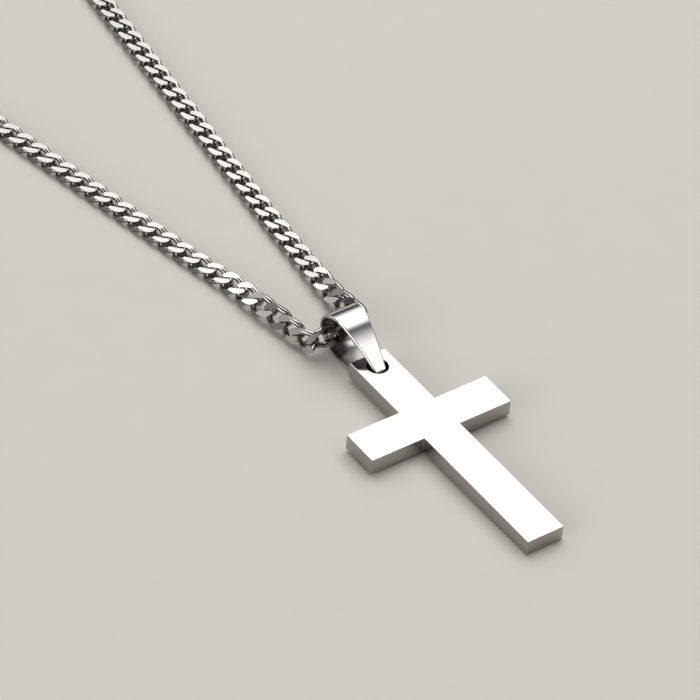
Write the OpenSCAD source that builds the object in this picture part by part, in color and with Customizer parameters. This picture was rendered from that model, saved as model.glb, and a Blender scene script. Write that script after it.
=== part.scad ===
// Flat steel cross on a folded strip bail, with a curb chain through the bail.
// Millimetres. Everything lies on the surface at z = 0. The crossbar runs along X and the chain
// leaves the bail towards +Y. The origin is the middle of the whole necklace's footprint, and
// the sizes below are counted from the middle of the cross's crossing.

/* [Cross] */
// Width of the upright
upright_w = 5.8; // [5:0.1:6.5]
// Width of the crossbar, along Y
bar_w = 5.7; // [5:0.1:6.5]
// Length of the crossbar from end to end
bar_span = 22.6; // [18:0.2:28]
// Reach of the upper arm from the middle of the crossing
upper_reach = 14; // [13.8:0.1:14.4]
// Reach of the lower arm from the middle of the crossing
lower_reach = 25.4; // [20:0.2:30]
// Thickness of the plate
plate_t = 2.4; // [2.2:0.05:2.5]
// Tilt of the plate, whose upper end lies on the bail's back leg
plate_tilt = 0.9; // [0.85:0.05:1]

/* [Hole] */
// Distance of the hole from the middle of the crossing
hole_y = 11.65; // [11.55:0.05:11.75]
// Diameter of the hole that the bail goes through
hole_d = 3; // [2.9:0.05:3.2]

/* [Bail] */
// Thickness of the bail's strip
strip_t = 0.46; // [0.4:0.02:0.5]
// Outer radius of the bail's round end
round_r = 3.5; // [3.4:0.05:3.6]
// Distance of the round end's axis from the middle of the crossing
round_y = 18.4; // [18:0.1:18.8]
// Place of the bail's narrow tip, inside the hole
tip_y = 10.6; // [10.5:0.05:10.7]
// Outer radius of the two bends at the tip
tip_r = 0.75; // [0.7:0.05:0.8]
// Height of the upper bend's axis
tip_top_z = 2.3; // [2.2:0.05:2.4]
// Half width of the strip at the tip
tip_half_w = 0.87; // [0.7:0.01:0.95]
// Half width of the strip along its flat back leg
back_half_w = 1.86; // [1.5:0.02:2.2]
// Half width of the strip at the top of the round end
top_half_w = 2.5; // [2:0.05:2.8]

/* [Chain] */
// Half length of a link's wire centreline
link_half_l = 2.1; // [2.08:0.01:2.14]
// Half width of a link's wire centreline
link_half_w = 1.3; // [1.28:0.01:1.34]
// Radius of the wire, out to the corners of its section
wire_r = 0.44; // [0.4:0.01:0.45]
// Half thickness of a link between its ground faces
link_half_t = 0.64; // [0.62:0.01:0.8]
// Twist of a link's sides over one pitch, in degrees
link_twist = 75; // [70:1:80]
// How full the ends of a link are: 1 is an ellipse, less is fuller
link_fullness = 0.65; // [0.62:0.01:0.75]
// Distance of the clasp from the middle of the crossing, which sets how long the chain is
clasp_reach = 222; // [200:1:260]

/* [Clasp] */
// Length of the clasp between the middles of its two end bars
clasp_l = 10; // [9.5:0.1:10.5]
// Thickness of the clasp at its middle
clasp_t = 2.4; // [2.2:0.1:2.6]
// Bend radius of the clasp's domed faces
face_bend_r = 14; // [13:0.5:16]
// Width of the clasp's metal round its two holes
clasp_rim = 0.8; // [0.7:0.05:0.85]
// Radius of the round hole at the clasp's tail
tail_hole_r = 1; // [0.9:0.05:1.1]
// Radius of the round hole at the clasp's head
head_hole_r = 1.6; // [1.4:0.05:1.7]
// Width of the clasp's neck, between its holes
neck_w = 2.8; // [2.2:0.1:3.2]
// Mean radius of the end rings
ring_r = 2.3; // [2.28:0.01:2.33]
// Wire radius of the end rings
ring_wire_r = 0.35; // [0.3:0.01:0.37]
// Distance of a ring's middle from the clasp bar that it holds
ring_set_out = 0.65; // [0.6:0.01:0.7]

/* [Hidden] */
$fn = 64;

// How far a cutter stands out of what it cuts, and the smallest step that counts
OVERCUT = 1;
NUDGE = 0.01;

// Sides of a link and of its wire
LINK_SIDES = 10;
WIRE_SIDES = 5;

// Points of the links' middles, from the clasp down the right strand, through the bail and
// back up the left strand. Columns: x, y, z, roll in degrees, pitch of the links.
// One link lies at the entry point, where the right strand comes into the bail.
ENTRY_POINT = 19;
POINTS = [
    [3.8, 222, 1.6, 12, 2.8],
    [8, 222, 1.5, 0, 2.8],
    [12, 220.8, 1.2, 0, 2.8],
    [15.8, 218.3, 0.9, 0, 2.8],
    [19.2, 214.8, 0.74, 0, 2.8],
    [22.1, 211, 0.74, 0, 2.8],
    [24.3, 206.7, 0.74, 0, 2.8],
    [25.7, 201.9, 0.74, 0, 2.8],
    [26.3, 196.5, 0.74, 0, 2.8],
    [26.2, 190.5, 0.74, 0, 2.8],
    [25.3, 184.5, 0.74, 0, 2.8],
    [24.5, 178.5, 0.74, 0, 2.8],
    [19.2, 140, 0.74, 0, 2.8],
    [13.1, 94, 0.74, 0, 2.8],
    [8.6, 60.1, 0.74, 0, 2.83],
    [6.6, 45, 0.74, 0, 2.86],
    [5.7, 37.1, 0.84, -4, 2.9],
    [4.9, 31.1, 1.25, -20, 2.94],
    [4.3, 26.7, 1.75, -47, 2.92],
    [3.9, 22.4, 2.65, -55, 2.88],
    [3.3, 21.1, 2.8, -55, 2.88],
    [1.3, 19.7, 3.2, -88, 2.6],
    [-3.9, 20.4, 2.7, -103, 2.75],
    [-4.5, 21.8, 1.95, -97, 2.85],
    [-4.9, 27.2, 1.8, -129, 2.84],
    [-5.3, 30.9, 1.6, -150, 2.98],
    [-5.7, 36, 1.1, -168, 2.95],
    [-6.9, 42.2, 0.8, -178, 2.9],
    [-10.3, 60, 0.74, -180, 2.81],
    [-14.3, 81, 0.74, -180, 2.8],
    [-25.6, 140, 0.74, -180, 2.8],
    [-32.9, 178.5, 0.74, -180, 2.8],
    [-34, 184.5, 0.74, -180, 2.8],
    [-35.2, 190.5, 0.74, -180, 2.8],
    [-35.3, 196.5, 0.74, -180, 2.8],
    [-34.7, 201.9, 0.74, -180, 2.8],
    [-33.3, 206.7, 0.74, -180, 2.8],
    [-31.1, 211, 0.74, -180, 2.8],
    [-28.2, 214.8, 0.74, -180, 2.8],
    [-24.8, 217.9, 0.9, -180, 2.8],
    [-21, 220.2, 1.2, -180, 2.8],
    [-17, 221.6, 1.5, -180, 2.8],
    [-12.8, 222, 1.6, -180, 2.8]
];

// The points are drawn for a clasp at 222. A longer or shorter chain stretches only its two
// straight strands, between 60 and 178.
POINTS_REACH = 222;
STRAIGHT_FROM = 60;
STRAIGHT_TO = 178;
function stretched(y) =
    let (share = (y - STRAIGHT_FROM) / (STRAIGHT_TO - STRAIGHT_FROM))
    y + (clasp_reach - POINTS_REACH) * min(max(share, 0), 1);
ROUTE = [for (p = POINTS) [p[0], stretched(p[1]), p[2], p[3], p[4]]];

// Place along the route, as the length of the straight lines between its points
LAST = len(ROUTE) - 1;
function gap(i) = norm([for (c = [0:2]) ROUTE[i + 1][c] - ROUTE[i][c]]);
KNOTS = [for (i = 0, s = 0; i <= LAST; s = s + (i < LAST ? gap(i) : 0), i = i + 1) s];
ROUTE_L = KNOTS[LAST];

// Slope of the route at one of its points, and the point and slope anywhere along it
function knot_slope(i) =
    let (a = max(i - 1, 0), b = min(i + 1, LAST))
    (ROUTE[b] - ROUTE[a]) / (KNOTS[b] - KNOTS[a]);
SLOPES = [for (i = [0:LAST]) knot_slope(i)];
function stretch(s) = max([for (i = [0:LAST - 1]) if (KNOTS[i] <= max(s, 0)) i]);
function along(s) =
    let (
        i = stretch(s),
        h = KNOTS[i + 1] - KNOTS[i],
        u = (s - KNOTS[i]) / h
    )
    ROUTE[i] * (1 - 3 * u * u + 2 * u * u * u)
    + ROUTE[i + 1] * (3 * u * u - 2 * u * u * u)
    + SLOPES[i] * h * (u - 2 * u * u + u * u * u)
    + SLOPES[i + 1] * h * (u * u * u - u * u);
function slope(s) = (along(s + NUDGE) - along(s - NUDGE)) / (2 * NUDGE);

// Number of links passed by each place along the route, counted in short steps
STEPS = 600;
STEP_L = ROUTE_L / STEPS;
function links_in(k) = STEP_L / along((k + 0.5) * STEP_L)[4];
COUNTS = [for (k = 0, c = 0; k <= STEPS; c = c + (k < STEPS ? links_in(k) : 0), k = k + 1)
    [c, k * STEP_L]];
ALL_COUNT = COUNTS[STEPS][0];
ENTRY_COUNT = lookup(KNOTS[ENTRY_POINT], [for (c = COUNTS) [c[1], c[0]]]);

// Whole links up to the entry point and in all, and the place of link i along the route
ENTRY_LINK = round(ENTRY_COUNT);
LAST_LINK = ENTRY_LINK + round(ALL_COUNT - ENTRY_COUNT);
function link_place(i) = lookup(
    i < ENTRY_LINK
        ? i * ENTRY_COUNT / ENTRY_LINK
        : ENTRY_COUNT + (i - ENTRY_LINK) * (ALL_COUNT - ENTRY_COUNT) / (LAST_LINK - ENTRY_LINK),
    COUNTS
);
SEAM_LINK = ENTRY_LINK + 2;

// Wire centreline of one link: a ring whose long sides are twisted about its length
function unit(v) = v / norm(v);
function wire_middle(angle) =
    let (
        x = link_half_l * cos(angle),
        reach = link_half_w * sign(sin(angle)) * pow(abs(sin(angle)), link_fullness),
        lean = -link_twist * x / ROUTE[0][4]
    )
    [x, reach * cos(lean), reach * sin(lean)];
function clamped(p) = [p[0], p[1], min(max(p[2], -link_half_t), link_half_t)];
function wire_section(j) =
    let (
        step = 360 / LINK_SIDES,
        middle = wire_middle(j * step),
        ahead = unit(wire_middle((j + 1) * step) - wire_middle((j - 1) * step)),
        side = unit(cross(ahead, [0, 0, 1])),
        up = cross(side, ahead)
    )
    [for (k = [0:WIRE_SIDES - 1])
        let (turn = 90 + (k + 0.5) * 360 / WIRE_SIDES)
        clamped(middle + wire_r * (cos(turn) * side + sin(turn) * up))];
LINK_POINTS = [for (j = [0:LINK_SIDES - 1]) each wire_section(j)];
LINK_CORNERS = LINK_SIDES * WIRE_SIDES;

// Triangles of one link, whose corners start at number `first`
function corner(first, j, k) = first + (j % LINK_SIDES) * WIRE_SIDES + k % WIRE_SIDES;
function link_faces(first) = [for (j = [0:LINK_SIDES - 1]) for (k = [0:WIRE_SIDES - 1])
    each [
        [corner(first, j, k), corner(first, j + 1, k + 1), corner(first, j + 1, k)],
        [corner(first, j, k), corner(first, j, k + 1), corner(first, j + 1, k + 1)]
    ]];

// Corners of link i where it lies, turned by the route's roll about its own length
function placed_link(i) =
    let (
        s = link_place(i),
        here = along(s),
        dir = slope(s),
        ahead = unit([dir[0], dir[1], dir[2]]),
        side = unit(cross([0, 0, 1], ahead)),
        up = cross(ahead, side),
        face = cos(here[3]) * up + sin(here[3]) * side,
        across = cross(face, ahead)
    )
    [for (p = LINK_POINTS)
        [here[0], here[1], here[2]] + p[0] * ahead + p[1] * across + p[2] * face];

module links(from, to) {
    polyhedron(
        points = [for (i = [from:to]) each placed_link(i)],
        faces = [for (i = [from:to]) each link_faces((i - from) * LINK_CORNERS)],
        convexity = 10
    );
}

// Flat plate with the hole near the end of its upper arm
module plate() {
    difference() {
        linear_extrude(plate_t) union() {
            translate([-upright_w / 2, -lower_reach])
                square([upright_w, lower_reach + upper_reach]);
            translate([-bar_span / 2, -bar_w / 2])
                square([bar_span, bar_w]);
        }
        translate([0, hole_y, -OVERCUT])
            cylinder(d = hole_d, h = plate_t + 2 * OVERCUT);
    }
}

module cross_plate() {
    translate([0, 0, lower_reach * sin(plate_tilt)])
        rotate([plate_tilt, 0, 0])
            plate();
}

// Side outline of the bail, seen along X, shrunk all round by `inset`.
// The lower bend, the upper bend and the round end are joined by their common tangents.
TIP_AXIS_Y = tip_y + tip_r;
RISE = atan2(round_r - tip_top_z, round_y - TIP_AXIS_Y);
AXIS_GAP = norm([round_y - TIP_AXIS_Y, round_r - tip_top_z]);
LEG_SLOPE = RISE + asin((round_r - tip_r) / AXIS_GAP);
function on_leg(y, z, r) = [y - r * sin(LEG_SLOPE), z + r * cos(LEG_SLOPE)];
module bail_outline(inset) {
    round_in = round_r - inset;
    tip_in = tip_r - inset;
    union() {
        translate([round_y, round_r]) circle(round_in);
        translate([TIP_AXIS_Y, tip_r]) circle(tip_in);
        translate([TIP_AXIS_Y, tip_top_z]) circle(tip_in);
        polygon([
            [TIP_AXIS_Y, inset],
            [round_y, inset],
            [round_y, round_r],
            on_leg(round_y, round_r, round_in),
            on_leg(TIP_AXIS_Y, tip_top_z, tip_in),
            [TIP_AXIS_Y, tip_top_z],
            [TIP_AXIS_Y - tip_in, tip_top_z],
            [TIP_AXIS_Y - tip_in, tip_r],
            [TIP_AXIS_Y, tip_r]
        ]);
    }
}

// Strip of the bail at full width
module bail_strip() {
    rotate([90, 0, 90])
        translate([0, 0, -top_half_w])
            linear_extrude(2 * top_half_w)
                difference() {
                    bail_outline(0);
                    bail_outline(strip_t);
                }
}

// Wedges that narrow the strip towards its tip and towards its flat back leg
module tip_wedge() {
    full_y = round_y + round_r / 4;
    linear_extrude(3 * round_r)
        polygon([
            [-tip_half_w, tip_y - NUDGE],
            [tip_half_w, tip_y - NUDGE],
            [top_half_w, full_y],
            [top_half_w, round_y + 2 * round_r],
            [-top_half_w, round_y + 2 * round_r],
            [-top_half_w, full_y]
        ]);
}

module back_wedge() {
    translate([0, round_y + 2 * round_r, 0])
        rotate([90, 0, 0])
            linear_extrude(6 * round_r)
                polygon([
                    [-back_half_w, 0],
                    [back_half_w, 0],
                    [top_half_w, 2 * round_r],
                    [-top_half_w, 2 * round_r]
                ]);
}

// The clasp and its rings lie between the two ends of the chain
END_RIGHT = [ROUTE[0][0], ROUTE[0][1]];
END_LEFT = [ROUTE[LAST][0], ROUTE[LAST][1]];
CLASP_AT = (END_RIGHT + END_LEFT) / 2;
CLASP_Z = ROUTE[0][2];
RING_OUT = clasp_l / 2 + ring_set_out;

module end_ring() {
    translate([0, 0, ring_r + ring_wire_r])
        rotate([90, 0, 0])
            rotate_extrude()
                translate([ring_r, 0])
                    circle(ring_wire_r, $fn = 24);
}

// Places of the clasp's two round holes along it
function hole_x(r) = clasp_l / 2 - clasp_rim / 2 - r;

// The clasp's tail, neck and head from above, cut to a thin lens from the side
module clasp_outline() {
    difference() {
        union() {
            translate([-hole_x(tail_hole_r), 0]) circle(tail_hole_r + clasp_rim);
            translate([hole_x(head_hole_r), 0]) circle(head_hole_r + clasp_rim);
            translate([-hole_x(tail_hole_r), -neck_w / 2])
                square([hole_x(tail_hole_r) + hole_x(head_hole_r), neck_w]);
        }
        translate([-hole_x(tail_hole_r), 0]) circle(tail_hole_r);
        translate([hole_x(head_hole_r), 0]) circle(head_hole_r);
    }
}

module domed_face(z) {
    translate([0, clasp_l / 2, z])
        rotate([90, 0, 0])
            cylinder(r = face_bend_r, h = clasp_l, $fn = 180);
}

module clasp_body() {
    intersection() {
        translate([0, 0, -clasp_t / 2])
            linear_extrude(clasp_t)
                clasp_outline();
        domed_face(clasp_t / 2 - face_bend_r);
        domed_face(face_bend_r - clasp_t / 2);
    }
}

// Moves everything so that the middle of the whole footprint is at the origin
LINK_REACH = link_half_w + wire_r;
ROUTE_X = [for (p = ROUTE) p[0]];
MIDDLE_X = (min(ROUTE_X) + max(ROUTE_X)) / 2;
MIDDLE_Y = (END_RIGHT[1] + LINK_REACH - lower_reach) / 2;
module laid() {
    translate([-MIDDLE_X, -MIDDLE_Y, 0]) children();
}

module cross() {
    color("silver") laid() cross_plate();
}

module bail() {
    color("silver") laid() intersection() {
        bail_strip();
        tip_wedge();
        back_wedge();
    }
}

module chain_right() {
    color("lightgray") laid() links(0, SEAM_LINK);
}

module chain_left() {
    color("lightgray") laid() links(SEAM_LINK + 1, LAST_LINK);
}

module ring_right() {
    color("silver") laid() translate([CLASP_AT[0] + RING_OUT, CLASP_AT[1], 0]) end_ring();
}

module ring_left() {
    color("silver") laid() translate([CLASP_AT[0] - RING_OUT, CLASP_AT[1], 0]) end_ring();
}

module clasp() {
    color("silver") laid() translate([CLASP_AT[0], CLASP_AT[1], CLASP_Z]) clasp_body();
}

cross();
bail();
chain_right();
chain_left();
ring_right();
ring_left();
clasp();
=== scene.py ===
# Polished steel cross pendant with its bail, curb chain, end rings and clasp.
# Metres. The places in the tables of the route and of the bail's sides are millimetres,
# counted from the middle of the crossing.

import math

import bpy
from bpy.props import FloatProperty, FloatVectorProperty, IntProperty, PointerProperty
from mathutils import Matrix, Vector


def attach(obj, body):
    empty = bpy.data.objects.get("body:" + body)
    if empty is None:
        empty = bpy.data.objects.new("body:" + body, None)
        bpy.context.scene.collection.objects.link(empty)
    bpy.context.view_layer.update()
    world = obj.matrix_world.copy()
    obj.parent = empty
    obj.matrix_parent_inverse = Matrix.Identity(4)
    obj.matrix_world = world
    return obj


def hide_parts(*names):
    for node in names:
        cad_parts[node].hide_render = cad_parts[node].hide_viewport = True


bl_info = {
    "name": "Cross Pendant Necklace",
    "version": (1, 0, 0),
    "blender": (4, 5, 0),
    "location": "View3D > Sidebar > Necklace",
    "description": "Builds a polished steel cross with its bail, curb chain, rings and clasp",
    "category": "Add Mesh",
}

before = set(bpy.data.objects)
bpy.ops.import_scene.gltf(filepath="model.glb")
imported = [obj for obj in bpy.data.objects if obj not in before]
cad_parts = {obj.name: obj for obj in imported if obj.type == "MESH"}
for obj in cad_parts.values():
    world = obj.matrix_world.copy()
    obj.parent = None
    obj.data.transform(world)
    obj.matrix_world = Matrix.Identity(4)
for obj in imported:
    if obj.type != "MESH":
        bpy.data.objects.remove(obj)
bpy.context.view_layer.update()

MM = 0.001
# Points closer to each other than this are one point
SAME_PLACE = 0.01 * MM
# A point closer to a cut than this lies on it
ON_CUT = 0.001 * MM
# An edge that bends by more than this is sharp
SHARP = math.radians(40)
# A normal points along a direction where the cosine of the angle between them is over this
SQUARE_ON = 0.99

# Middle of the crossing, where the frame's origin is the middle of the whole footprint
CROSSING = Vector((4.5, -99.17, 0)) * MM

# Route of the links' middles. Columns: x, y, z, roll in degrees, pitch of the links.
ROLL, PITCH = 3, 4
ROUTE = [
    (3.8, 222, 1.6, 12, 2.8),
    (8, 222, 1.5, 0, 2.8),
    (12, 220.8, 1.2, 0, 2.8),
    (15.8, 218.3, 0.9, 0, 2.8),
    (19.2, 214.8, 0.74, 0, 2.8),
    (22.1, 211, 0.74, 0, 2.8),
    (24.3, 206.7, 0.74, 0, 2.8),
    (25.7, 201.9, 0.74, 0, 2.8),
    (26.3, 196.5, 0.74, 0, 2.8),
    (26.2, 190.5, 0.74, 0, 2.8),
    (25.3, 184.5, 0.74, 0, 2.8),
    (24.5, 178.5, 0.74, 0, 2.8),
    (19.2, 140, 0.74, 0, 2.8),
    (13.1, 94, 0.74, 0, 2.8),
    (8.6, 60.1, 0.74, 0, 2.83),
    (6.6, 45, 0.74, 0, 2.86),
    (5.7, 37.1, 0.84, -4, 2.9),
    (4.9, 31.1, 1.25, -20, 2.94),
    (4.3, 26.7, 1.75, -47, 2.92),
    (3.9, 22.4, 2.65, -55, 2.88),
    (3.3, 21.1, 2.8, -55, 2.88),
    (1.3, 19.7, 3.2, -88, 2.6),
    (-3.9, 20.4, 2.7, -103, 2.75),
    (-4.5, 21.8, 1.95, -97, 2.85),
    (-4.9, 27.2, 1.8, -129, 2.84),
    (-5.3, 30.9, 1.6, -150, 2.98),
    (-5.7, 36, 1.1, -168, 2.95),
    (-6.9, 42.2, 0.8, -178, 2.9),
    (-10.3, 60, 0.74, -180, 2.81),
    (-14.3, 81, 0.74, -180, 2.8),
    (-25.6, 140, 0.74, -180, 2.8),
    (-32.9, 178.5, 0.74, -180, 2.8),
    (-34, 184.5, 0.74, -180, 2.8),
    (-35.2, 190.5, 0.74, -180, 2.8),
    (-35.3, 196.5, 0.74, -180, 2.8),
    (-34.7, 201.9, 0.74, -180, 2.8),
    (-33.3, 206.7, 0.74, -180, 2.8),
    (-31.1, 211, 0.74, -180, 2.8),
    (-28.2, 214.8, 0.74, -180, 2.8),
    (-24.8, 217.9, 0.9, -180, 2.8),
    (-21, 220.2, 1.2, -180, 2.8),
    (-17, 221.6, 1.5, -180, 2.8),
    (-12.8, 222, 1.6, -180, 2.8),
]
# Row of the route, counted from 0, where the right strand comes into the bail and a link lies
ENTRY_POINT = 19
# Links past that one that still belong to the right strand
LINKS_PAST_ENTRY = 2
# Number of short steps in which the links along the route are counted
ROUTE_STEPS = 600
# Millimetres before and after a link over which the direction of the route is taken
LOOK_AHEAD = 0.01

# Name of the attribute that is 1 on a link's ground faces and 0 on its drawn wire
GROUND = "ground"

# The clasp lies between the two ends of the chain
CLASP_MIDDLE = ((ROUTE[0][0] + ROUTE[-1][0]) / 2, ROUTE[0][1], ROUTE[0][2])

# Middle of the space that the bail's loop encloses
BAIL_MIDDLE = (0, 17, 3)
# The bail's sides flare quickly from the tip and then less and less. The first cut starts at
# the tip. Columns of the others: place, half width there as a share of the widest, flare.
TIP_FLARE = 0.19
FLARES = (
    (19.6, 0.965, 0.1),
    (21, 1, 0.03),
)

# Angle left open between the two cut ends of an end ring
RING_GAP = math.radians(3)

# The camera stands where the photograph was taken from, in metres
CAMERA_PLACE = (-0.33764, -0.49965, 0.47388)
CAMERA_RIGHT = (0.8108, -0.5808, 0.0731)
CAMERA_UP = (0.340, 0.569, 0.749)
CAMERA_AHEAD = (0.4767, 0.5826, -0.6583)
# Lens and width of the sensor in millimetres, and the nearest distance that shows in metres
CAMERA_LENS = 277.7
CAMERA_SENSOR = 36
CAMERA_NEAR = 0.05

# Light panels, which all stand at one distance from the crossing, in metres. The flat faces
# and the upper part of the bail mirror the window, and the bail's front leg the fill light.
# The links that are turned on their side mirror the side wall, and the left edges of the strip
# and of the wires the edge light. Columns: name, setting of the brightness, direction, width
# and height, and the shares of them over which the left, right, lower and upper rim fade.
PANEL_DISTANCE = 1.3
PANELS = (
    ("Window", "window", (0.342, 0.5188, 0.7838), (1.85, 2.05), (0.22, 0.22, 0.16, 0.82)),
    ("Fill light", "fill", (0.4767, -0.4917, 0.7288), (1, 1.12), (0.27, 0.27, 0.3, 0.3)),
    ("Side wall", "wall", (-0.3, 0.75, 0.6), (1.8, 1.5), (0.2, 0.2, 0.3, 0.2)),
    ("Edge light", "edge", (-0.92, -0.08, 0.37), (1, 1.3), (0.2, 0.2, 0.3, 0.3)),
)
# Side of the square floor in metres
FLOOR_SIZE = 12


# Sizes and colours that a user would change


def length(name, description, default):
    """A length whose default is given in millimetres."""
    return FloatProperty(
        name=name,
        description=description,
        default=default * MM,
        min=0,
        precision=5,
        unit="LENGTH",
        subtype="DISTANCE",
    )


def colour(name, description, shade):
    """A colour whose default is given as an sRGB hex value."""
    return FloatVectorProperty(
        name=name,
        description=description,
        default=linear(shade),
        min=0,
        max=1,
        size=3,
        subtype="COLOR",
    )


def brightness(name, description, default):
    """The brightness of a light."""
    return FloatProperty(name=name, description=description, default=default, min=0)


def linear(shade):
    """Linear red, green and blue of an sRGB hex colour."""
    parts = [int(shade[i : i + 2], 16) / 255 for i in (1, 3, 5)]
    return tuple(p / 12.92 if p <= 0.04045 else ((p + 0.055) / 1.055) ** 2.4 for p in parts)


class NecklaceCross(bpy.types.PropertyGroup):
    """The plate, its hole and its finish"""

    upright_w: length("Upright width", "Width of the upright", 5.8)
    bar_w: length("Bar width", "Width of the crossbar", 5.7)
    bar_span: length("Bar span", "Length of the crossbar from end to end", 22.6)
    upper_reach: length("Upper reach", "Reach of the upper arm from the crossing", 14)
    lower_reach: length("Lower reach", "Reach of the lower arm from the crossing", 25.4)
    plate_t: length("Thickness", "Thickness of the plate", 2.4)
    hole_y: length("Hole place", "Distance of the hole from the crossing", 11.65)
    hole_d: length("Hole diameter", "Diameter of the hole for the bail", 3)
    edge_r: length("Edge rounding", "Rounding that the buffing leaves on every edge", 0.1)
    tilt: FloatProperty(
        name="Tilt",
        description="Tilt of the plate, whose upper end lies on the bail",
        default=math.radians(0.9),
        unit="ROTATION",
        subtype="ANGLE",
    )
    steel: colour("Steel", "Colour of the buffed plate", "#CFCCC7")
    # Painted shade: the darker colour of the narrow upright sides
    shaded_side_steel: colour("Side steel", "Colour of the narrow sides of the plate", "#AEABA6")
    # Painted shade: the darker colour of the hole's wall
    hole_shade_steel: colour("Drilled steel", "Colour of the hole's wall", "#6F6D6A")


class NecklaceBail(bpy.types.PropertyGroup):
    """The folded strip that holds the cross"""

    strip_t: length("Strip thickness", "Thickness of the strip", 0.46)
    round_r: length("Round end radius", "Outer radius of the round end", 3.5)
    round_y: length("Round end place", "Distance of the round end from the crossing", 18.4)
    tip_y: length("Tip place", "Place of the narrow tip, inside the hole", 10.6)
    tip_r: length("Tip radius", "Outer radius of the two bends at the tip", 0.75)
    tip_top_z: length("Upper bend height", "Height of the upper bend's axis", 2.3)
    tip_half_w: length("Tip half width", "Half width of the strip at the tip", 0.87)
    back_half_w: length("Back half width", "Half width of the strip on the floor", 1.86)
    top_half_w: length("Top half width", "Half width at the top of the round end", 2.5)
    leg_r: length("Front leg radius", "Outer radius of the slightly bowed front leg", 25)
    edge_r: length("Edge rounding", "Rounding of the strip's long edges", 0.2)
    steel: colour("Steel", "Colour of the polished strip", "#CBC9C6")
    # Painted shade: the darker colour of the strip inside the loop
    inner_shade_steel: colour("Inner steel", "Colour of the strip inside the loop", "#9A9895")


class NecklaceChain(bpy.types.PropertyGroup):
    """One link of the chain"""

    half_l: length("Half length", "Half length of a link's wire centreline", 1.95)
    half_w: length("Half width", "Half width of a link's wire centreline", 1.18)
    wire_r: length("Wire radius", "Radius of the wire", 0.47)
    half_t: length("Half thickness", "Half thickness between the ground faces", 0.61)
    fullness: FloatProperty(
        name="Fullness",
        description="How full the sides of a link are: 1 is an ellipse, less is fuller",
        default=0.46,
        min=0.3,
        max=1,
    )
    bluntness: FloatProperty(
        name="Bluntness",
        description="How blunt the ends of a link are: 1 is an ellipse, less is blunter",
        default=0.8,
        min=0.5,
        max=1,
    )
    twist: FloatProperty(
        name="Twist",
        description="Twist of a link over one pitch",
        default=math.radians(75),
        unit="ROTATION",
        subtype="ANGLE",
    )
    sections: IntProperty(
        name="Sections", description="Sections round one link", default=16, min=8, max=32
    )
    steel: colour("Steel", "Colour of the ground faces", "#BCBAB6")
    # Painted shade: the darker colour of the wire beside the ground faces
    wire_shade_steel: colour("Wire steel", "Colour of the wire beside the ground faces", "#8B8986")


class NecklaceClasp(bpy.types.PropertyGroup):
    """The clasp and the two end rings"""

    body_l: length("Length", "Length between the middles of the end bars", 10)
    body_t: length("Thickness", "Thickness of the clasp at its middle", 2.4)
    face_bend_r: length("Face bend", "Bend radius of the domed faces", 14)
    rim: length("Rim", "Width of the metal round the two holes", 0.8)
    tail_hole_r: length("Tail hole", "Radius of the hole at the tail", 1)
    head_hole_r: length("Head hole", "Radius of the hole at the head", 1.6)
    neck_w: length("Neck", "Width of the neck between the holes", 2.8)
    edge_r: length("Edge rounding", "Rounding that tumbling leaves on the clasp's edges", 0.2)
    ring_r: length("Ring radius", "Mean radius of the end rings", 2.3)
    ring_wire_r: length("Ring wire", "Wire radius of the end rings", 0.35)
    ring_set_out: length("Ring place", "Distance of a ring from the bar that it holds", 0.65)
    steel: colour("Steel", "Colour of the tumbled fittings", "#C4C2BE")


class NecklaceStage(bpy.types.PropertyGroup):
    """The floor, the lights and the room"""

    floor: colour("Floor", "Colour of the plain floor", "#BFBBB4")
    window: brightness("Window", "Brightness of the wide window behind", 4)
    fill: brightness("Fill light", "Brightness of the soft light above the front", 1.6)
    wall: brightness("Side wall", "Brightness of the dim wall on the left", 0.75)
    edge: brightness("Edge light", "Brightness of the low light on the left", 4)
    sky: brightness("Room light", "Brightness of the room all round", 0.12)
    sky_tone: colour("Room tone", "Colour of the room all round", "#E8EAEE")


# Helpers for selecting, shaping and finishing


def work_on(*objects):
    """Selects these objects and nothing else."""
    if bpy.context.object and bpy.context.object.mode != "OBJECT":
        bpy.ops.object.mode_set(mode="OBJECT")
    bpy.ops.object.select_all(action="DESELECT")
    for obj in objects:
        obj.select_set(True)
    bpy.context.view_layer.objects.active = objects[0]


def select_nothing():
    """Clears the selection, so that a new primitive is alone in it."""
    bpy.ops.object.select_all(action="DESELECT")
    bpy.context.view_layer.objects.active = None


def select_parts(obj, kind, test):
    """Selects the edges or faces that pass the test, and goes into edit mode. The test gets
    the middle of an edge and its direction, or the middle of a face and its normal."""
    bpy.ops.object.mode_set(mode="EDIT")
    bpy.ops.mesh.select_mode(type=kind)
    bpy.ops.mesh.select_all(action="DESELECT")
    bpy.ops.object.mode_set(mode="OBJECT")
    mesh = obj.data
    if kind == "EDGE":
        for edge in mesh.edges:
            a, b = (mesh.vertices[i].co for i in edge.vertices)
            edge.select = test((a + b) / 2, (b - a).normalized())
    else:
        for face in mesh.polygons:
            face.select = test(face.center, face.normal)
    bpy.ops.object.mode_set(mode="EDIT")


def add_modifier(obj, kind, **settings):
    """Adds a modifier and applies it."""
    work_on(obj)
    modifier = obj.modifiers.new(kind.title(), kind)
    for key, value in settings.items():
        setattr(modifier, key, value)
    bpy.ops.object.modifier_apply(modifier=modifier.name)


def cut_or_join(obj, tool, operation):
    """Cuts, joins or crosses the object with a tool, which is then removed."""
    add_modifier(obj, "BOOLEAN", object=tool, operation=operation, solver="EXACT")
    bpy.data.objects.remove(tool)


def round_edges(obj, radius, segments):
    """Rounds every sharp edge and keeps the flat faces flat."""
    work_on(obj)
    bpy.ops.object.shade_smooth()
    add_modifier(
        obj,
        "BEVEL",
        width=radius,
        segments=segments,
        limit_method="ANGLE",
        angle_limit=SHARP,
        use_clamp_overlap=True,
        harden_normals=True,
    )


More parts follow.
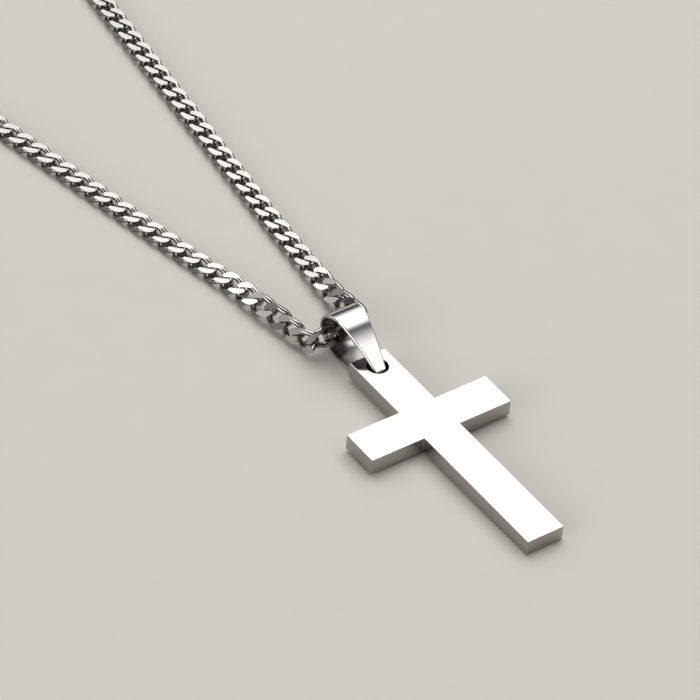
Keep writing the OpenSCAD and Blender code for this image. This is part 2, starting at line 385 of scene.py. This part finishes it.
def settle(obj, name):
    """Names a finished piece, moves it out of the crossing's frame and puts its place in its
    mesh."""
    work_on(obj)
    obj.name = name
    obj.data.name = name
    obj.location = obj.location + CROSSING
    bpy.ops.object.transform_apply(location=True, rotation=True, scale=True)


def hand_over(obj, node, material):
    """Gives a piece its material, hangs it on the root and hides the CAD node that it
    replaces.
    """
    obj.data.materials.clear()
    obj.data.materials.append(material)
    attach(obj, "root")
    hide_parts(node)


# Materials. A pattern's scale is the number of its marks in a metre: 4000 for 0.25 mm.

# Places of the Mix node's sockets for colours and for numbers, which share their names
COLOUR_A, COLOUR_B, MIXED_COLOUR = 6, 7, 2
NUMBER_A, NUMBER_B, MIXED_NUMBER = 2, 3, 0


def add_node(tree, kind, inputs=None, **settings):
    """Adds a node with its settings. An input is a value or the socket that feeds it."""
    node = tree.nodes.new(kind)
    for key, value in settings.items():
        setattr(node, key, value)
    for key, value in (inputs or {}).items():
        if isinstance(value, bpy.types.NodeSocket):
            tree.links.new(value, node.inputs[key])
        else:
            node.inputs[key].default_value = value
    return node


def new_material(name):
    """An empty material and its node tree."""
    material = bpy.data.materials.new(name)
    material.use_nodes = True
    tree = material.node_tree
    tree.nodes.clear()
    return material, tree


def finish_material(tree, inputs):
    """Feeds the shader and puts it on the surface."""
    shader = add_node(tree, "ShaderNodeBsdfPrincipled", inputs)
    add_node(tree, "ShaderNodeOutputMaterial", {"Surface": shader.outputs["BSDF"]})


def mirror_buffed_steel(steel, shaded_side_steel, hole_shade_steel, hole_at, hole_r):
    """316L stainless plate, buffed on a cotton wheel: a clear mirror with faint lines."""
    material, tree = new_material("Mirror buffed stainless plate")
    place = add_node(tree, "ShaderNodeTexCoord").outputs["Object"]
    # Lines of the wheel run along the plate. Real ones are too fine to show, so these are as
    # coarse as the render needs, 0.25 mm apart and some 7 mm long.
    lines_at = add_node(
        tree, "ShaderNodeMapping", {"Vector": place, "Scale": (4000, 150, 4000)}
    ).outputs["Vector"]
    lines = add_node(
        tree, "ShaderNodeTexNoise", {"Vector": lines_at, "Scale": 1, "Detail": 3}
    ).outputs["Fac"]
    # Patches some 5 mm wide where the mirror is a little less clear
    patches = add_node(
        tree, "ShaderNodeTexNoise", {"Vector": place, "Scale": 200, "Detail": 4}
    ).outputs["Fac"]
    haze = add_node(
        tree, "ShaderNodeMath", {0: lines, 1: patches}, operation="MULTIPLY"
    ).outputs["Value"]
    buffed = add_node(
        tree,
        "ShaderNodeMapRange",
        {"Value": haze, "From Min": 0.1, "From Max": 0.5, "To Min": 0.03, "To Max": 0.08},
    ).outputs["Result"]
    # The wheel doesn't reach the hole's wall, which stays dull. Its colour is darkened with
    # painted shade, for the shadow inside the hole. Its finish ends on the rounded rim.
    drilled_rough = 0.35
    rim_starts, rim_ends = hole_r + 0.04 * MM, hole_r + 0.08 * MM
    from_hole = add_node(
        tree, "ShaderNodeVectorMath", {0: place, 1: hole_at}, operation="SUBTRACT"
    ).outputs["Vector"]
    level = add_node(
        tree, "ShaderNodeVectorMath", {0: from_hole, 1: (1, 1, 0)}, operation="MULTIPLY"
    ).outputs["Vector"]
    away = add_node(
        tree, "ShaderNodeVectorMath", {0: level}, operation="LENGTH"
    ).outputs["Value"]
    face = add_node(
        tree,
        "ShaderNodeMapRange",
        {"Value": away, "From Min": rim_starts, "From Max": rim_ends},
    ).outputs["Result"]
    # Painted shade: the narrow upright sides get a darker colour than the broad faces
    normal = add_node(tree, "ShaderNodeNewGeometry").outputs["Normal"]
    upright = add_node(tree, "ShaderNodeSeparateXYZ", {"Vector": normal}).outputs["Z"]
    broad = add_node(
        tree, "ShaderNodeMath", {0: upright}, operation="ABSOLUTE"
    ).outputs["Value"]
    outer = add_node(
        tree,
        "ShaderNodeMix",
        {"Factor": broad, COLOUR_A: (*shaded_side_steel, 1), COLOUR_B: (*steel, 1)},
        data_type="RGBA",
    ).outputs[MIXED_COLOUR]
    shade = add_node(
        tree,
        "ShaderNodeMix",
        {"Factor": face, COLOUR_A: (*hole_shade_steel, 1), COLOUR_B: outer},
        data_type="RGBA",
    ).outputs[MIXED_COLOUR]
    rough = add_node(
        tree,
        "ShaderNodeMix",
        {"Factor": face, NUMBER_A: drilled_rough, NUMBER_B: buffed},
        data_type="FLOAT",
    ).outputs[MIXED_NUMBER]
    # The wheel leaves the plate very slightly wavy, over 3 mm
    waves = add_node(
        tree, "ShaderNodeTexNoise", {"Vector": place, "Scale": 330, "Detail": 1}
    ).outputs["Fac"]
    bump = add_node(
        tree, "ShaderNodeBump", {"Height": waves, "Strength": 0.12, "Distance": 0.02 * MM}
    ).outputs["Normal"]
    finish_material(
        tree, {"Base Color": shade, "Metallic": 1, "Roughness": rough, "Normal": bump}
    )
    return material


def polished_strip_steel(steel, inner_shade_steel):
    """Stainless strip, pressed round a former and tumbled bright: a mirror with fine lines
    along the strip, and a satin inside."""
    material, tree = new_material("Tumble polished stainless strip")
    place = add_node(tree, "ShaderNodeTexCoord").outputs["Object"]
    # Rolling lines, 0.2 mm apart across the strip
    lines_at = add_node(
        tree, "ShaderNodeMapping", {"Vector": place, "Scale": (5000, 120, 120)}
    ).outputs["Vector"]
    lines = add_node(
        tree, "ShaderNodeTexNoise", {"Vector": lines_at, "Scale": 1, "Detail": 2}
    ).outputs["Fac"]
    polished = add_node(
        tree,
        "ShaderNodeMapRange",
        {"Value": lines, "From Min": 0.3, "From Max": 0.7, "To Min": 0.04, "To Max": 0.07},
    ).outputs["Result"]
    # The tumbling hardly reaches the inside of the loop, whose faces look at its middle, so it
    # stays satin. Its colour is darkened with painted shade, for the shade inside the loop
    satin_rough = 0.2
    normal = add_node(tree, "ShaderNodeNewGeometry").outputs["Normal"]
    outward = add_node(
        tree,
        "ShaderNodeVectorMath",
        {0: place, 1: CROSSING + Vector(BAIL_MIDDLE) * MM},
        operation="SUBTRACT",
    ).outputs["Vector"]
    facing = add_node(
        tree, "ShaderNodeVectorMath", {0: outward, 1: normal}, operation="DOT_PRODUCT"
    ).outputs["Value"]
    inside = add_node(
        tree, "ShaderNodeMath", {0: facing, 1: 0}, operation="LESS_THAN"
    ).outputs["Value"]
    rough = add_node(
        tree,
        "ShaderNodeMath",
        {0: inside, 1: satin_rough, 2: polished},
        operation="MULTIPLY_ADD",
    ).outputs["Value"]
    shade = add_node(
        tree,
        "ShaderNodeMix",
        {"Factor": inside, COLOUR_A: (*steel, 1), COLOUR_B: (*inner_shade_steel, 1)},
        data_type="RGBA",
    ).outputs[MIXED_COLOUR]
    bump = add_node(
        tree, "ShaderNodeBump", {"Height": lines, "Strength": 0.08, "Distance": 0.01 * MM}
    ).outputs["Normal"]
    finish_material(
        tree, {"Base Color": shade, "Metallic": 1, "Roughness": rough, "Normal": bump}
    )
    return material


def ground_wire_steel(steel, wire_shade_steel):
    """Drawn stainless wire whose links are ground flat and tumbled: bright pads, and sides
    darkened with painted shade."""
    material, tree = new_material("Ground and tumbled stainless wire")
    place = add_node(tree, "ShaderNodeTexCoord").outputs["Object"]
    # Each link, some 3 mm long, is a little brighter or duller than the next
    links = add_node(
        tree, "ShaderNodeTexNoise", {"Vector": place, "Scale": 350, "Detail": 1}
    ).outputs["Fac"]
    # Tumbling marks 0.15 mm wide, which is as fine as the render can show
    marks = add_node(
        tree, "ShaderNodeTexNoise", {"Vector": place, "Scale": 6500, "Detail": 2}
    ).outputs["Fac"]
    haze = add_node(
        tree, "ShaderNodeMath", {0: links, 1: marks}, operation="MULTIPLY"
    ).outputs["Value"]
    rough = add_node(
        tree,
        "ShaderNodeMapRange",
        {"Value": haze, "From Min": 0.1, "From Max": 0.45, "To Min": 0.04, "To Max": 0.12},
    ).outputs["Result"]
    # The wire beside the ground faces is darkened with painted shade, for the dark gaps
    # between links
    ground = add_node(tree, "ShaderNodeAttribute", attribute_name=GROUND).outputs["Fac"]
    shade = add_node(
        tree,
        "ShaderNodeMix",
        {"Factor": ground, COLOUR_A: (*wire_shade_steel, 1), COLOUR_B: (*steel, 1)},
        data_type="RGBA",
    ).outputs[MIXED_COLOUR]
    bump = add_node(
        tree, "ShaderNodeBump", {"Height": marks, "Strength": 0.1, "Distance": 0.02 * MM}
    ).outputs["Normal"]
    finish_material(
        tree, {"Base Color": shade, "Metallic": 1, "Roughness": rough, "Normal": bump}
    )
    return material


def tumbled_fitting_steel(steel):
    """Cast stainless clasp and its wire rings, tumbled bright: soft gloss with tiny dents."""
    material, tree = new_material("Tumbled stainless fittings")
    place = add_node(tree, "ShaderNodeTexCoord").outputs["Object"]
    # Dents 0.4 mm wide
    dents = add_node(
        tree, "ShaderNodeTexNoise", {"Vector": place, "Scale": 2500, "Detail": 3}
    ).outputs["Fac"]
    rough = add_node(
        tree,
        "ShaderNodeMapRange",
        {"Value": dents, "From Min": 0.3, "From Max": 0.7, "To Min": 0.08, "To Max": 0.2},
    ).outputs["Result"]
    bump = add_node(
        tree, "ShaderNodeBump", {"Height": dents, "Strength": 0.15, "Distance": 0.03 * MM}
    ).outputs["Normal"]
    finish_material(
        tree, {"Base Color": (*steel, 1), "Metallic": 1, "Roughness": rough, "Normal": bump}
    )
    return material


def plain_floor_paint(shade):
    """Matt painted board: an even pale tone that takes soft shadows."""
    material, tree = new_material("Matt painted board")
    place = add_node(tree, "ShaderNodeTexCoord").outputs["Object"]
    # Roller texture of some 4 mm
    roller = add_node(
        tree, "ShaderNodeTexNoise", {"Vector": place, "Scale": 250, "Detail": 3}
    ).outputs["Fac"]
    rough = add_node(
        tree,
        "ShaderNodeMapRange",
        {"Value": roller, "From Min": 0.3, "From Max": 0.7, "To Min": 0.65, "To Max": 0.75},
    ).outputs["Result"]
    finish_material(tree, {"Base Color": (*shade, 1), "Roughness": rough})
    return material


# Cross


def make_cross(size, material):
    """A box grows its four arms, is drilled, gets soft edges and is tilted onto the bail."""
    select_nothing()
    bpy.ops.mesh.primitive_cube_add(
        size=1,
        location=(0, 0, size.plate_t / 2),
        scale=(size.upright_w, size.bar_w, size.plate_t),
    )
    plate = bpy.context.object
    bpy.ops.object.transform_apply(location=True, rotation=True, scale=True)
    bar_out = (size.bar_span - size.upright_w) / 2
    # A face of the crossing lies this close to its middle, and the sides of an arm further out
    crossing_r = max(size.upright_w, size.bar_w) / 2 + size.plate_t
    for direction, reach in (
        (Vector((0, 1, 0)), size.upper_reach - size.bar_w / 2),
        (Vector((0, -1, 0)), size.lower_reach - size.bar_w / 2),
        (Vector((1, 0, 0)), bar_out),
        (Vector((-1, 0, 0)), bar_out),
    ):
        select_parts(
            plate,
            "FACE",
            lambda at, normal: normal.dot(direction) > SQUARE_ON and at.length < crossing_r,
        )
        bpy.ops.mesh.extrude_region_move(
            TRANSFORM_OT_translate={"value": tuple(direction * reach)}
        )
        bpy.ops.object.mode_set(mode="OBJECT")
    bpy.ops.mesh.primitive_cylinder_add(
        vertices=64,
        radius=size.hole_d / 2,
        depth=size.plate_t * 2,
        location=(0, size.hole_y, size.plate_t / 2),
    )
    cut_or_join(plate, bpy.context.object, "DIFFERENCE")
    round_edges(plate, size.edge_r, segments=3)
    plate.rotation_euler.x = size.tilt
    plate.location.z = size.lower_reach * math.sin(size.tilt)
    settle(plate, "cross_plate")
    hand_over(plate, "cross", material)


# Bail


def arc(middle, angle, steps):
    """Spins the selected edge about an axis along X, given as a y and z."""
    bpy.ops.mesh.spin(
        steps=steps, angle=-angle, center=(0, *middle), axis=(1, 0, 0), dupli=False
    )


def stretch(y, z):
    """Carries the selected edge straight on."""
    bpy.ops.mesh.extrude_region_move(TRANSFORM_OT_translate={"value": (0, y, z)})


def trim(at, normal):
    """Cuts away what lies on the plane's outer side."""
    bpy.ops.mesh.select_all(action="SELECT")
    bpy.ops.mesh.bisect(
        plane_co=at, plane_no=Vector(normal).normalized(), clear_outer=True, threshold=ON_CUT
    )


def make_bail(size, material):
    """A strip is bent round its former, trimmed to its taper, and given its thickness and its
    soft edges."""
    tip_axis = size.tip_y + size.tip_r
    # The front leg is an arc that runs smoothly into the round end and the upper bend. Its
    # axis is found from the triangle that it makes with theirs.
    round_at = Vector((size.round_y, size.round_r))
    tip_at = Vector((tip_axis, size.tip_top_z))
    to_round, to_tip = size.leg_r - size.round_r, size.leg_r - size.tip_r
    base = round_at - tip_at
    share = (to_tip**2 - to_round**2 + base.length_squared) / (2 * base.length)
    drop = math.sqrt(to_tip**2 - share**2)
    along = base.normalized()
    leg_at = tip_at + share * along + drop * Vector((along.y, -along.x))
    leg_starts = math.atan2(*(round_at - leg_at).yx)
    leg_ends = math.atan2(*(tip_at - leg_at).yx)
    select_nothing()
    bpy.ops.mesh.primitive_plane_add(size=1, location=(0, (tip_axis + size.round_y) / 2, 0))
    strip = bpy.context.object
    strip.scale = (2 * size.top_half_w, size.round_y - tip_axis, 1)
    bpy.ops.object.transform_apply(location=True, rotation=True, scale=True)
    far = size.round_y - SAME_PLACE
    select_parts(strip, "EDGE", lambda at, along: at.y > far)
    arc(round_at, leg_starts + math.pi / 2, steps=44)
    arc(leg_at, leg_ends - leg_starts, steps=8)
    arc(tip_at, math.pi - leg_ends, steps=8)
    stretch(0, size.tip_r - size.tip_top_z)
    arc((tip_axis, size.tip_r), math.pi / 2, steps=10)
    bpy.ops.mesh.select_all(action="SELECT")
    bpy.ops.mesh.remove_doubles(threshold=SAME_PLACE)
    bpy.ops.mesh.normals_make_consistent(inside=False)
    # The sides are cut upright along their flares, and then slanting from the flat back leg to
    # the widest place at the top
    full = size.top_half_w
    cuts = [(size.tip_y, size.tip_half_w, TIP_FLARE)]
    cuts += [(y * MM, part * full, flare) for y, part, flare in FLARES]
    back_rise, back_run = 2 * size.round_r, full - size.back_half_w
    for side in (-1, 1):
        for y, half_w, flare in cuts:
            trim((side * half_w, y, 0), (side, -flare, 0))
        trim((side * size.back_half_w, 0, 0), (side * back_rise, 0, -back_run))
    bpy.ops.object.mode_set(mode="OBJECT")
    add_modifier(strip, "SOLIDIFY", thickness=size.strip_t, offset=-1, use_even_offset=True)
    round_edges(strip, size.edge_r, segments=3)
    settle(strip, "bail_strip")
    hand_over(strip, "bail", material)


# Chain


class Route:
    """The smooth route of the links, in millimetres from the crossing: a cubic curve through
    its points, whose slopes follow from the points beside them."""

    def __init__(self, points, entry_point):
        self.points = [Vector(p) for p in points]
        self.last = len(points) - 1
        self.knots = [0]
        for a, b in zip(points, points[1:]):
            self.knots.append(self.knots[-1] + math.dist(a[:3], b[:3]))
        self.slopes = []
        for i in range(self.last + 1):
            a, b = max(i - 1, 0), min(i + 1, self.last)
            rise = self.points[b] - self.points[a]
            self.slopes.append(rise / (self.knots[b] - self.knots[a]))
        self.count_links(entry_point)

    def along(self, s):
        """Place, roll and pitch at a distance along the route."""
        i = max(k for k in range(self.last) if self.knots[k] <= max(s, 0))
        h = self.knots[i + 1] - self.knots[i]
        u = (s - self.knots[i]) / h
        rise = 3 * u**2 - 2 * u**3
        return (
            self.points[i] * (1 - rise)
            + self.points[i + 1] * rise
            + self.slopes[i] * h * (u - 2 * u**2 + u**3)
            + self.slopes[i + 1] * h * (u**3 - u**2)
        )

    def ahead(self, s):
        """Direction of the route there."""
        return (self.along(s + LOOK_AHEAD) - self.along(s - LOOK_AHEAD)).to_3d().normalized()

    def count_links(self, entry_point):
        """Counts the links passed at each short step. The numbers up to the entry and after it
        are made whole."""
        step = self.knots[-1] / ROUTE_STEPS
        self.places = [k * step for k in range(ROUTE_STEPS + 1)]
        self.counts = [0]
        for k in range(ROUTE_STEPS):
            self.counts.append(self.counts[-1] + step / self.along((k + 0.5) * step)[PITCH])
        self.entry_count = between(self.knots[entry_point], self.places, self.counts)
        self.entry_link = round(self.entry_count)
        self.last_link = self.entry_link + round(self.counts[-1] - self.entry_count)

    def place(self, i):
        """Place of link i along the route."""
        if i < self.entry_link:
            count = i * self.entry_count / self.entry_link
        else:
            share = (i - self.entry_link) / (self.last_link - self.entry_link)
            count = self.entry_count + share * (self.counts[-1] - self.entry_count)
        return between(count, self.counts, self.places)

    def stand(self, i):
        """Matrix that lays a link at its place, turned by the route's roll."""
        s = self.place(i)
        here = self.along(s)
        ahead = self.ahead(s)
        side = Vector((0, 0, 1)).cross(ahead).normalized()
        up = ahead.cross(side)
        roll = math.radians(here[ROLL])
        face = math.cos(roll) * up + math.sin(roll) * side
        across = face.cross(ahead)
        turn = Matrix((ahead, across, face)).transposed().to_4x4()
        return Matrix.Translation(Vector(here[:3]) * MM) @ turn


def between(value, xs, ys):
    """Straight-line lookup of a value in rising xs."""
    i = max(k for k in range(len(xs) - 1) if xs[k] <= max(value, xs[0]))
    u = min((value - xs[i]) / (xs[i + 1] - xs[i]), 1)
    return ys[i] + u * (ys[i + 1] - ys[i])


def powered(value, power):
    """A power that keeps the sign of the value."""
    return math.copysign(abs(value) ** power, value)


def wire_middle(size, angle, pitch):
    """Point on a link's centreline: a ring whose long sides are twisted about its length."""
    x = size.half_l * powered(math.cos(angle), size.bluntness)
    reach = size.half_w * powered(math.sin(angle), size.fullness)
    lean = -size.twist * x / pitch
    return Vector((x, reach * math.cos(lean), reach * math.sin(lean)))


def model_link(size):
    """One link: a closed wire on a twisted ring, ground flat above and below."""
    select_nothing()
    bpy.ops.curve.primitive_bezier_circle_add(radius=size.half_w)
    link = bpy.context.object
    curve = link.data
    bpy.ops.object.mode_set(mode="EDIT")
    bpy.ops.curve.select_all(action="SELECT")
    bpy.ops.curve.subdivide(number_cuts=size.sections // 4 - 1)
    bpy.ops.curve.spline_type_set(type="POLY")
    bpy.ops.object.mode_set(mode="OBJECT")
    points = curve.splines[0].points
    pitch = ROUTE[0][PITCH] * MM
    for k, point in enumerate(points):
        middle = wire_middle(size, 2 * math.pi * (k + 0.5) / len(points), pitch)
        point.co = (*middle, 1)
    curve.dimensions = "3D"
    curve.twist_mode = "Z_UP"
    curve.bevel_depth = size.wire_r
    curve.bevel_resolution = 1
    bpy.ops.object.convert(target="MESH")
    bpy.ops.object.shade_smooth()
    bpy.ops.object.mode_set(mode="EDIT")
    for side in (-1, 1):
        bpy.ops.mesh.select_all(action="SELECT")
        bpy.ops.mesh.bisect(
            plane_co=(0, 0, side * size.half_t),
            plane_no=(0, 0, side),
            clear_outer=True,
            use_fill=True,
            threshold=ON_CUT,
        )
    bpy.ops.mesh.select_all(action="SELECT")
    bpy.ops.mesh.normals_make_consistent(inside=False)
    pad = size.half_t - SAME_PLACE
    select_parts(
        link, "FACE", lambda at, normal: abs(at.z) > pad and abs(normal.z) > SQUARE_ON
    )
    bpy.ops.mesh.faces_shade_flat()
    bpy.ops.object.mode_set(mode="OBJECT")
    ground = link.data.attributes.new(GROUND, "FLOAT", "FACE")
    for face in link.data.polygons:
        ground.data[face.index].value = float(face.select)
    return link


def make_strand(link, route, first, last, name, material):
    """Copies the link to its places on one strand and joins them into one piece."""
    copies = []
    for i in range(first, last + 1):
        work_on(link)
        bpy.ops.object.duplicate(linked=False)
        copy = bpy.context.object
        copy.matrix_world = route.stand(i)
        copies.append(copy)
    work_on(*copies)
    bpy.ops.object.transform_apply(location=True, rotation=True, scale=True)
    bpy.ops.object.join()
    strand = bpy.context.object
    settle(strand, name + "_links")
    hand_over(strand, name, material)


def make_chain(size, material):
    """One link is modelled and laid along both strands."""
    route = Route(ROUTE, ENTRY_POINT)
    link = model_link(size)
    seam = route.entry_link + LINKS_PAST_ENTRY
    make_strand(link, route, 0, seam, "chain_right", material)
    make_strand(link, route, seam + 1, route.last_link, "chain_left", material)
    bpy.data.objects.remove(link)


# Rings and clasp


def make_rings(size, material):
    """A wire section is spun into a ring whose two cut ends almost meet."""
    out = size.body_l / 2 + size.ring_set_out
    for side, name in ((1, "ring_right"), (-1, "ring_left")):
        select_nothing()
        bpy.ops.mesh.primitive_circle_add(
            vertices=16,
            radius=size.ring_wire_r,
            fill_type="NGON",
            location=(size.ring_r, 0, 0),
        )
        ring = bpy.context.object
        bpy.ops.object.transform_apply(location=True, rotation=True, scale=True)
        bpy.ops.object.mode_set(mode="EDIT")
        bpy.ops.mesh.select_all(action="SELECT")
        bpy.ops.mesh.spin(
            steps=48,
            angle=2 * math.pi - RING_GAP,
            center=(0, 0, 0),
            axis=(0, 1, 0),
            dupli=False,
        )
        bpy.ops.mesh.select_all(action="SELECT")
        bpy.ops.mesh.normals_make_consistent(inside=False)
        bpy.ops.object.mode_set(mode="OBJECT")
        bpy.ops.object.shade_smooth_by_angle(angle=SHARP)
        x, y = CLASP_MIDDLE[0] * MM + side * out, CLASP_MIDDLE[1] * MM
        ring.location = (x, y, size.ring_r + size.ring_wire_r)
        settle(ring, name + "_wire")
        hand_over(ring, name, material)


def make_clasp(size, material):
    """Tail, neck and head are joined, drilled, cut to a lens and given round edges."""
    tail_x = size.body_l / 2 - size.rim / 2 - size.tail_hole_r
    head_x = size.body_l / 2 - size.rim / 2 - size.head_hole_r
    select_nothing()
    bpy.ops.mesh.primitive_cube_add(
        size=1,
        location=((head_x - tail_x) / 2, 0, 0),
        scale=(head_x + tail_x, size.neck_w, size.body_t),
    )
    body = bpy.context.object
    bpy.ops.object.transform_apply(location=True, rotation=True, scale=True)
    ends = ((-tail_x, size.tail_hole_r), (head_x, size.head_hole_r))
    for x, hole_r in ends:
        bpy.ops.mesh.primitive_cylinder_add(
            vertices=64, radius=hole_r + size.rim, depth=size.body_t, location=(x, 0, 0)
        )
        cut_or_join(body, bpy.context.object, "UNION")
    for x, hole_r in ends:
        bpy.ops.mesh.primitive_cylinder_add(
            vertices=48, radius=hole_r, depth=2 * size.body_t, location=(x, 0, 0)
        )
        cut_or_join(body, bpy.context.object, "DIFFERENCE")
    for side in (-1, 1):
        bpy.ops.mesh.primitive_cylinder_add(
            vertices=180,
            radius=size.face_bend_r,
            depth=size.body_l,
            location=(0, 0, side * (size.body_t / 2 - size.face_bend_r)),
            rotation=(math.pi / 2, 0, 0),
        )
        cut_or_join(body, bpy.context.object, "INTERSECT")
    round_edges(body, size.edge_r, segments=3)
    body.location = Vector(CLASP_MIDDLE) * MM
    settle(body, "clasp_body")
    hand_over(body, "clasp", material)


# Stage


def add_panel(name, direction, size, glow, fades):
    """A light panel that looks at the crossing. Its upright axis follows the way in which a
    mirror turning about X would sweep past it. Its four rims fade over shares of its size."""
    toward = Vector(direction).normalized()
    across = Vector((1, 0, 0)) - toward.x * toward
    across.normalize()
    turn = Matrix((across, toward.cross(across), toward)).transposed()
    bpy.ops.object.light_add(
        type="AREA", location=CROSSING + toward * PANEL_DISTANCE, rotation=turn.to_euler()
    )
    light = bpy.context.object
    light.name = name
    light.data.shape = "RECTANGLE"
    light.data.size, light.data.size_y = size
    # A panel's watts are pi times its area for a brightness of 1
    light.data.energy = glow * math.pi * size[0] * size[1]
    light.data.use_nodes = True
    tree = light.data.node_tree
    tree.nodes.clear()
    spot = add_node(tree, "ShaderNodeNewGeometry").outputs["Parametric"]
    axes = add_node(tree, "ShaderNodeSeparateXYZ", {"Vector": spot})
    left, right, lower, upper = fades
    strength = None
    for axis, start, end in (
        ("X", 0, left),
        ("X", 1, 1 - right),
        ("Y", 0, lower),
        ("Y", 1, 1 - upper),
    ):
        rim = add_node(
            tree,
            "ShaderNodeMapRange",
            {"Value": axes.outputs[axis], "From Min": start, "From Max": end},
            interpolation_type="SMOOTHSTEP",
        ).outputs["Result"]
        if strength:
            rim = add_node(
                tree, "ShaderNodeMath", {0: strength, 1: rim}, operation="MULTIPLY"
            ).outputs["Value"]
        strength = rim
    shine = add_node(tree, "ShaderNodeEmission", {"Strength": strength}).outputs["Emission"]
    add_node(tree, "ShaderNodeOutputLight", {"Surface": shine})


def add_floor(tone):
    """The plain floor, which isn't part of the necklace."""
    select_nothing()
    bpy.ops.mesh.primitive_plane_add(size=FLOOR_SIZE)
    floor = bpy.context.object
    floor.name = "floor"
    floor.data.materials.append(plain_floor_paint(tone))


def light_room(tone, strength):
    """An even dim light from all round."""
    world = bpy.data.worlds.new("Room")
    bpy.context.scene.world = world
    world.use_nodes = True
    tree = world.node_tree
    tree.nodes.clear()
    back = add_node(tree, "ShaderNodeBackground", {"Color": (*tone, 1), "Strength": strength})
    add_node(tree, "ShaderNodeOutputWorld", {"Surface": back.outputs["Background"]})


def add_camera():
    """The camera, with plain colours that no film look changes."""
    bpy.ops.object.camera_add(location=CAMERA_PLACE)
    camera = bpy.context.object
    ahead = Vector(CAMERA_AHEAD).normalized()
    turn = Matrix((CAMERA_RIGHT, CAMERA_UP, -ahead)).transposed()
    camera.rotation_euler = turn.to_euler()
    camera.data.sensor_width = CAMERA_SENSOR
    camera.data.lens = CAMERA_LENS
    camera.data.clip_start = CAMERA_NEAR
    bpy.context.scene.camera = camera
    bpy.context.scene.view_settings.view_transform = "Standard"


def make_stage(settings):
    """The floor, the light panels, the light of the room and the camera."""
    add_floor(settings.floor)
    for name, setting, direction, size, fades in PANELS:
        add_panel(name, direction, size, getattr(settings, setting), fades)
    light_room(settings.sky_tone, settings.sky)
    add_camera()


# Operators, panel and registration


class NECKLACE_OT_cross(bpy.types.Operator):
    """Model the drilled plate"""

    bl_idname = "necklace.cross"
    bl_label = "Cross"
    bl_options = {"REGISTER", "UNDO"}

    def execute(self, context):
        size = context.scene.necklace_cross
        hole_at = CROSSING + Vector((0, size.hole_y, 0))
        steel = mirror_buffed_steel(
            size.steel, size.shaded_side_steel, size.hole_shade_steel, hole_at, size.hole_d / 2
        )
        make_cross(size, steel)
        return {"FINISHED"}


class NECKLACE_OT_bail(bpy.types.Operator):
    """Bend the strip that holds the cross"""

    bl_idname = "necklace.bail"
    bl_label = "Bail"
    bl_options = {"REGISTER", "UNDO"}

    def execute(self, context):
        size = context.scene.necklace_bail
        make_bail(size, polished_strip_steel(size.steel, size.inner_shade_steel))
        return {"FINISHED"}


class NECKLACE_OT_chain(bpy.types.Operator):
    """Lay the links of both strands"""

    bl_idname = "necklace.chain"
    bl_label = "Chain"
    bl_options = {"REGISTER", "UNDO"}

    def execute(self, context):
        size = context.scene.necklace_chain
        make_chain(size, ground_wire_steel(size.steel, size.wire_shade_steel))
        return {"FINISHED"}


class NECKLACE_OT_clasp(bpy.types.Operator):
    """Model the end rings and the clasp between them"""

    bl_idname = "necklace.clasp"
    bl_label = "Rings and clasp"
    bl_options = {"REGISTER", "UNDO"}

    def execute(self, context):
        size = context.scene.necklace_clasp
        material = tumbled_fitting_steel(size.steel)
        make_rings(size, material)
        make_clasp(size, material)
        return {"FINISHED"}


class NECKLACE_OT_stage(bpy.types.Operator):
    """Set the floor, the lights and the camera"""

    bl_idname = "necklace.stage"
    bl_label = "Stage"
    bl_options = {"REGISTER", "UNDO"}

    def execute(self, context):
        make_stage(context.scene.necklace_stage)
        return {"FINISHED"}


class VIEW3D_PT_necklace(bpy.types.Panel):
    """Lists the pieces of the necklace"""

    bl_label = "Necklace"
    bl_space_type = "VIEW_3D"
    bl_region_type = "UI"
    bl_category = "Necklace"

    def draw(self, context):
        for operator in OPERATORS:
            self.layout.operator(operator.bl_idname)


SETTINGS = {
    "necklace_cross": NecklaceCross,
    "necklace_bail": NecklaceBail,
    "necklace_chain": NecklaceChain,
    "necklace_clasp": NecklaceClasp,
    "necklace_stage": NecklaceStage,
}
OPERATORS = (
    NECKLACE_OT_cross,
    NECKLACE_OT_bail,
    NECKLACE_OT_chain,
    NECKLACE_OT_clasp,
    NECKLACE_OT_stage,
)


def register():
    for name, group in SETTINGS.items():
        bpy.utils.register_class(group)
        setattr(bpy.types.Scene, name, PointerProperty(type=group))
    for operator in OPERATORS:
        bpy.utils.register_class(operator)
    bpy.utils.register_class(VIEW3D_PT_necklace)


def unregister():
    bpy.utils.unregister_class(VIEW3D_PT_necklace)
    for operator in OPERATORS:
        bpy.utils.unregister_class(operator)
    for name, group in SETTINGS.items():
        delattr(bpy.types.Scene, name)
        bpy.utils.unregister_class(group)


def main():
    register()
    bpy.ops.necklace.cross()
    bpy.ops.necklace.bail()
    bpy.ops.necklace.chain()
    bpy.ops.necklace.clasp()
    bpy.ops.necklace.stage()


if __name__ == "__main__":
    main()
